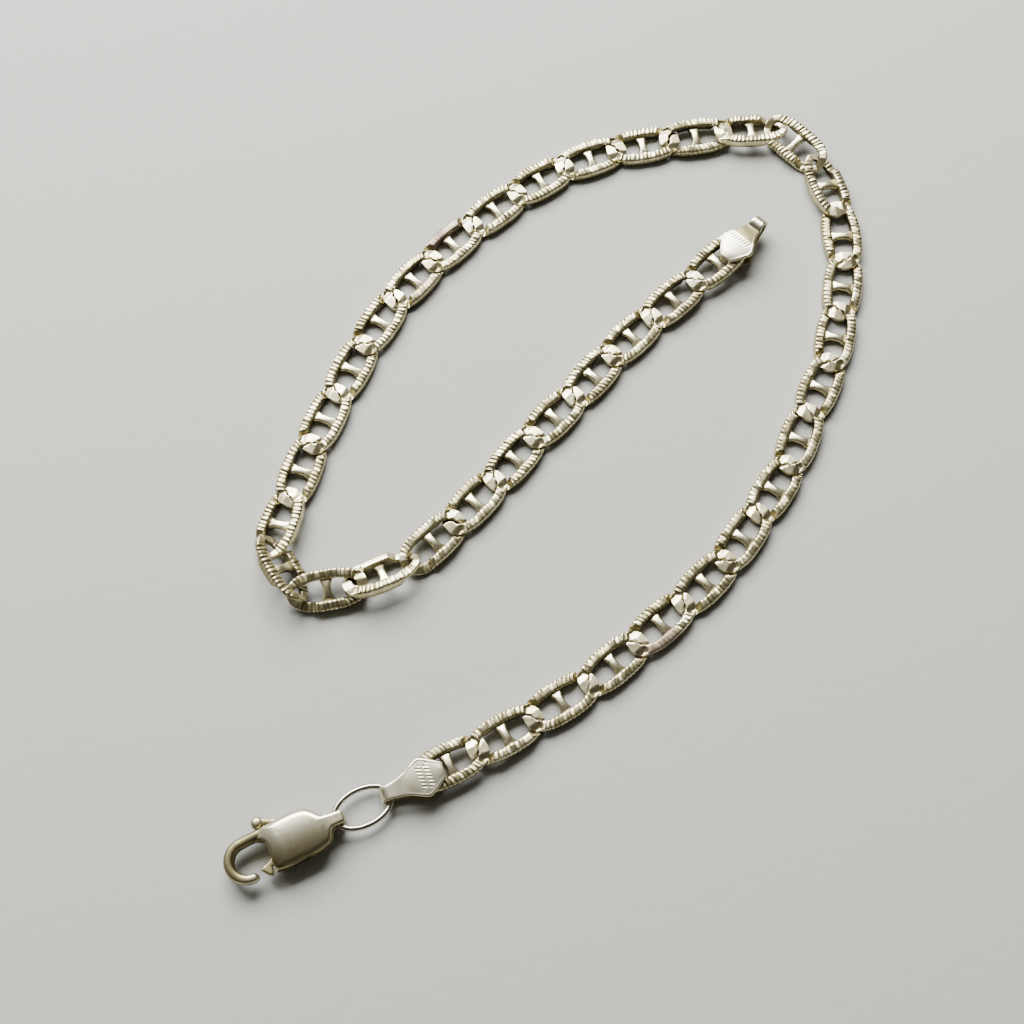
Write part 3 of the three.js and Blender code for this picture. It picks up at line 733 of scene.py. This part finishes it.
wallOutline = [
    [(-0.2, 1.86), (0.5, 1.9), (0.95, 1.6), (1.3, 1.12)],
    [(1.3, 1.12), (1.5, 0.78), (1.6, 0.74), (1.75, 0.72)],
    [(1.75, 0.72), (1.8, 0.4), (1.8, 0.1), (1.75, -0.26)],
    [(1.75, -0.26), (1.8, -0.4), (1.8, -0.5), (1.75, -0.72)],
    [(1.75, -0.72), (1.55, -1.5), (0.6, -1.62), (-0.8, -1.62)],
    [(-0.8, -1.62), (-1.6, -1.7), (-2.3, -1.68), (-2.7, -1.58)],
    [(-2.7, -1.58), (-2.7, -1.4), (-2.7, -1.3), (-2.7, -1.14)],
    [(-2.7, -1.14), (-2.0, -1.08), (-1.5, -1.03), (-0.9, -0.98)],
    [(-0.9, -0.98), (-0.6, -0.9), (-0.3, -0.7), (-0.2, -0.5)],
    [(-0.2, -0.5), (-0.2, 0.2), (-0.2, 1.0), (-0.2, 1.86)],
]
gateOutline = [(-1.55, 0.75), (-2.95, -0.66), (-3.68, -0.98), (-3.72, -1.1), (-3.34, -1.56), (-3.16, -1.68),
               (-2.98, -1.64), (-2.9, -1.04), (-1.6, -0.6), (-0.75, -0.1), (-0.9, 0.5)]
thumbOutline = [(-1.7, 0.3), (-0.6, 0.3), (-0.9, 1.1), (-1.45, 1.85), (-2.7, 2.4), (-2.85, 1.95),
                (-2.1, 1.77), (-1.7, 1.35)]


# Points along a run of cubic curves that start where the last one ended
def curvesLine(curves):
    t = np.linspace(0, 1, 24)
    return np.concatenate([bezier(part, t)[:-1] for part in curves])


# Where the clasp's frame lies: turned to its heading, with its pivot on the hinge
def claspPose():
    hinge = np.array(frame["joints"][0]["pos_m"]) / mm
    a = np.radians(claspLook["heading"])
    axes = np.array([[np.cos(a), -np.sin(a), 0], [np.sin(a), np.cos(a), 0], [0, 0, 1.0]])
    return hinge - axes @ np.array([*claspLook["pivot"], 0]), axes


claspAt = claspPose()


# Plate with this outline: each face is carried from the core out to the outline, and near it falls over a
# rounded rim by r - sqrt(r^2 - (r - d)^2), with d the distance to the outline. Heights and rims are
# numbers or functions of the place.
def plate(outline, core, top, bottom, rimTop, rimBottom, columns=240, rows=20):
    line = np.asarray(outline, float)
    line = evenly(np.vstack([line, line[:1]]), columns + 1)[:-1]
    share = 1 - (1 - np.linspace(0.01, 1, rows)) ** 2
    plan = np.asarray(core) + (line - core)[None] * share[:, None, None]
    distance = np.linalg.norm(plan[:, :, None] - line[None, None], axis=-1).min(-1)

    def face(level, rim, side):
        height = level(plan[..., 0], plan[..., 1]) if callable(level) else level + 0 * distance
        rim = rim(plan[..., 0], plan[..., 1]) if callable(rim) else rim
        inset = np.clip(rim - distance, 0, rim)
        drop = rim - np.sqrt(np.clip(rim ** 2 - inset ** 2, 0, None))
        return np.concatenate([plan, (height - side * drop)[..., None]], -1)

    upper, lower = face(top, rimTop, 1), face(bottom, rimBottom, -1)
    return np.concatenate([upper, lower[::-1]])


# Height of the upper face of the body: a low crown, by the squares of the distances from its middle, that
# falls to the hook and to the neck
def bodyTop(x, y):
    start, end, by = claspLook["fall"]
    fall = claspLook["crown"]
    crown = fall["across"] * (np.clip(y - 0.6, -3, 3) / 1.9) ** 2
    crown = crown + fall["along"] * (np.clip(x + 0.4, -2.4, 2.0) / 2) ** 2
    level = claspLook["half"] - 0.01 - crown * ease(x, 2.2, 1.2)
    return level - by * ease(x, start, end) - fall["neck"] * ease(x, 1.1, 2.2)


# Rounding of the upper rim, which is smaller at the neck and beside the hook
def bodyRim(x, y):
    wide, narrow = claspLook["rim"]
    return (wide + (narrow - wide) * ease(x, 0.9, 1.9)) * (1 - 0.45 * ease(x, -1.9, -2.7))


# Hook: a squared bar from between the halves over the top of the throat and, along part of a circle,
# round to its tip, where it is slimmer and lower
def claspHook():
    hook = claspLook["hook"]
    bend = np.radians(np.linspace(92, 360 + hook["tip"], 70))
    middle = np.array([hook["x"], hook["y"]])
    arc = middle + hook["radius"] * np.stack([np.cos(bend), np.sin(bend)], -1)
    start = bezier([(-2.65, 1.36), (-3.2, 1.37), (-3.7, 1.36), arc[0]], np.linspace(0, 1, 20))
    line = evenly(np.vstack([start[:-1], arc]), 200)
    length = np.linalg.norm(np.diff(line, axis=0), axis=1).sum()
    s, share = roundedEnds(120, length, 0.05, hook["round"])
    at = s / length * (len(line) - 1)
    steps = np.arange(len(line))
    path = np.stack([np.interp(at, steps, line[:, 0]), np.interp(at, steps, line[:, 1]), 0 * at], -1)
    slim = 1 - hook["slimBy"] * ease(s, length * 0.55, length)
    low = 1 - hook["lowBy"] * ease(s, length * 0.5, length)
    return tube(path, hook["half"] * share * slim, hook["halfUp"] * share * low, power=2.9, columns=32)


# Neck: a band bent round the eye, an oval ring of squared section whose axis runs across the clasp
def neckBand():
    neck = claspLook["neck"]
    a = np.linspace(0, 2 * np.pi, 72, endpoint=False)[:, None]
    c, v = squaredCircle(np.linspace(0, 2 * np.pi, 20, endpoint=False), 3.6)
    x = neck["x"] + (neck["halfX"] + neck["wall"] * c[None]) * np.cos(a)
    z = (neck["halfZ"] + neck["wall"] * c[None]) * np.sin(a)
    return np.stack([x, neck["y"] + neck["half"] * v[None] + 0 * a, z], -1)


# Flat ring round a point, of squared section
def ringAbout(x, y, inner, outer, halfHeight):
    a = np.linspace(0, 2 * np.pi, 48, endpoint=False)[:, None]
    c, v = squaredCircle(np.linspace(0, 2 * np.pi, 16, endpoint=False), 4.0)
    r = (inner + outer) / 2 + (outer - inner) / 2 * c[None]
    return np.stack([x + r * np.cos(a), y + r * np.sin(a), halfHeight * v[None] + 0 * a], -1)


# Parts of the clasp carried to the bracelet's frame, each with its tarnish and painted shade
def claspGrids(parts):
    return [(toFrame(points, claspAt), closed, {"tarnishAndShade": tarnishAndShade}) for points, closed, tarnishAndShade in parts]


# Body: two mirrored halves, the wall between them set back by the seam, the hook, the band of the neck
# and the pin. Painted shade deepens towards the front edge, over the rims and on the lower face, and
# darkens the back and underside of the hook, the set-back wall and the pin.
def makeClaspBody():
    look = claspLook
    px, py = look["pivot"]
    slot, pinHalf = look["slot"], look["pinHalf"]
    upper = plate(curvesLine(bodyOutline), look["bodyCore"], bodyTop, slot, bodyRim, 0.04)
    lower = upper * [1, 1, -1]
    wall = curvesLine(wallOutline)
    wall = wall + unit(np.array(look["wallCore"]) - wall) * look["seam"]
    wall = plate(wall, look["wallCore"], slot + 0.06, -slot - 0.06, 0.01, 0.01, rows=10)
    pinLine = [(px, py, z) for z in (-pinHalf, 0, pinHalf)]
    pin = tube(pinLine, look["pin"], look["pin"], up=(1.0, 0, 0))
    hook = claspHook()
    dark = look["tarnishAndShade"]
    upperTarnishAndShade = dark["face"] + dark["frontShade"] * ease(upper[..., 1], 1.0, -1.3)
    upperTarnishAndShade = upperTarnishAndShade + dark["rim"] * ease(upper[..., 2], 0.82, 0.5)
    lowerShade = dark["back"] + dark["lowerFaceShade"] * ease(-lower[..., 2], 0.5, 0.9)
    hookTarnishAndShade = dark["hook"] + dark["hookBackShade"] * ease(hook[..., 1], -1.4, -0.6)
    hookTarnishAndShade = hookTarnishAndShade + dark["hookUnderShade"] * ease(hook[..., 2], 0.3, -0.4)
    parts = [(upper, False, upperTarnishAndShade), (lower, False, lowerShade), (wall, False, dark["wall"]),
             (hook, False, hookTarnishAndShade), (neckBand(), True, dark["neck"]), (pin, False, dark["pin"])]
    makePiece("clasp_body_silver", claspGrids(parts), "bracelet", ["clasp_body"],
              satinSilver, sharpAngle=50)


# Lever: a ring round the pin, the gate that closes the throat, and the arm to the thumb knob, whose
# profile is the squared circle turned round its axis
def makeLever():
    look = claspLook
    half, rim, knob = look["lever"], look["leverRim"], look["knob"]
    hub = ringAbout(*look["pivot"], look["bore"], look["hub"], half)
    gate = plate(gateOutline, look["gateCore"], half, -half, rim, rim, columns=120, rows=8)
    thumb = plate(thumbOutline, look["thumbCore"], half, -half, rim, rim, columns=96, rows=8)
    c, v = squaredCircle(np.linspace(-np.pi / 2 + 0.05, np.pi / 2 - 0.05, 24)[:, None], 2.6)
    a = np.linspace(0, 2 * np.pi, 32, endpoint=False)[None]
    r = knob["radius"] * c
    atX, atY = knob["at"]
    ball = np.stack([atX + r * np.cos(a), atY + r * np.sin(a), knob["half"] * v + 0 * a], -1)
    # the knob is darkened with painted shade on its underside, and the hub round the pin with painted shade
    # between the halves
    dark = look["tarnishAndShade"]
    ballTarnishAndShade = dark["knob"] + dark["knobUnderShade"] * ease(ball[..., 2], 0.25, -0.15)
    parts = [(hub, True, dark["hub"]), (gate, False, dark["gate"]), (thumb, False, dark["thumb"]),
             (ball, False, ballTarnishAndShade)]
    makePiece("clasp_lever_silver", claspGrids(parts), "lever", ["clasp_lever"],
              satinSilver, sharpAngle=50)


makeClaspBody()
makeLever()
print("clasp made")


# In metres, because the light and the camera stand in the scene itself
stageLook = {
    "paper": (0.435, 0.438, 0.42, 1), "paperSize": 0.9, "paperRoughness": 0.9, "paperShine": 0.2,
    "fibreScale": 700.0, "fibreStrength": 0.25, "fibreDepth": 0.0001,
    "window": {"at": (-0.07, 0.2, 0.2), "width": 0.3, "height": 0.2, "power": 3.7,
               "colour": (1.0, 0.995, 0.96)},
    "sky": 1.0,
    "towardsWindow": (-0.5, 0.66, 0.56),
    # room light by how nearly a direction points at the window
    "room": [(0.0, (0.04, 0.038, 0.03, 1)), (0.5, (0.11, 0.105, 0.08, 1)), (0.78, (0.30, 0.295, 0.25, 1)),
             (0.94, (0.9, 0.89, 0.85, 1))],
    "lens": 54, "lookAt": (-0.0042, -0.00366, 0.0), "distance": 0.118856, "elevation": 70,
}


# Pale matt paper: one square at floor height, with fibre noise as bump
def makePaper():
    size = stageLook["paperSize"] / 2
    mesh = bpy.data.meshes.new("paper")
    corners = [(-size, -size, 0), (size, -size, 0), (size, size, 0), (-size, size, 0)]
    mesh.from_pydata(corners, [], [(0, 1, 2, 3)])
    paper = bpy.data.objects.new("paper", mesh)
    bpy.context.scene.collection.objects.link(paper)
    material = bpy.data.materials.new("paper")
    material.use_nodes = True
    tree = material.node_tree
    shader = tree.nodes["Principled BSDF"]
    shader.inputs["Base Color"].default_value = stageLook["paper"]
    shader.inputs["Roughness"].default_value = stageLook["paperRoughness"]
    shader.inputs["Specular IOR Level"].default_value = stageLook["paperShine"]
    place = tree.nodes.new("ShaderNodeTexCoord")
    fibre = addNode(tree, "ShaderNodeTexNoise", Scale=stageLook["fibreScale"], Detail=6.0, Roughness=0.6)
    tree.links.new(place.outputs["Object"], fibre.inputs["Vector"])
    strength, depth = stageLook["fibreStrength"], stageLook["fibreDepth"]
    bump = addNode(tree, "ShaderNodeBump", Strength=strength, Distance=depth)
    tree.links.new(fibre.outputs["Fac"], bump.inputs["Height"])
    tree.links.new(bump.outputs["Normal"], shader.inputs["Normal"])
    mesh.materials.append(material)


# One soft window that looks at the middle, and a room whose light runs a ramp by the cosine of the angle
# between a direction and the way to the window
def makeLight():
    window = stageLook["window"]
    lamp = bpy.data.lights.new("window", "AREA")
    lamp.shape, lamp.size, lamp.size_y = "RECTANGLE", window["width"], window["height"]
    lamp.energy, lamp.color = window["power"], window["colour"]
    light = bpy.data.objects.new("window", lamp)
    light.location = window["at"]
    light.rotation_euler = (-Vector(window["at"])).to_track_quat("-Z", "Y").to_euler()
    bpy.context.scene.collection.objects.link(light)
    world = bpy.data.worlds.new("room")
    bpy.context.scene.world = world
    world.use_nodes = True
    tree = world.node_tree
    background = tree.nodes["Background"]
    background.inputs["Strength"].default_value = stageLook["sky"]
    place = tree.nodes.new("ShaderNodeTexCoord")
    towards = tree.nodes.new("ShaderNodeVectorMath")
    towards.operation = "DOT_PRODUCT"
    towards.inputs[1].default_value = Vector(stageLook["towardsWindow"]).normalized()
    tree.links.new(place.outputs["Generated"], towards.inputs[0])
    ramp = tree.nodes.new("ShaderNodeValToRGB")
    stops = stageLook["room"]
    for element, (position, colour) in zip(ramp.color_ramp.elements, (stops[0], stops[-1])):
        element.position, element.color = position, colour
    for position, colour in stops[1:-1]:
        ramp.color_ramp.elements.new(position).color = colour
    tree.links.new(towards.outputs["Value"], ramp.inputs["Fac"])
    tree.links.new(ramp.outputs["Color"], background.inputs["Color"])


# The camera looks at its point from the front, at its distance and elevation
def makeCamera():
    lens = bpy.data.cameras.new("camera")
    lens.lens, lens.sensor_width = stageLook["lens"], 36
    lens.clip_start, lens.clip_end = 0.005, 10
    camera = bpy.data.objects.new("camera", lens)
    e = np.radians(stageLook["elevation"])
    back = Vector((0, -np.cos(e), np.sin(e)))
    camera.location = Vector(stageLook["lookAt"]) + back * stageLook["distance"]
    camera.rotation_euler = (-back).to_track_quat("-Z", "Y").to_euler()
    bpy.context.scene.collection.objects.link(camera)
    bpy.context.scene.camera = camera


makePaper()
makeLight()
makeCamera()
print("stage made")
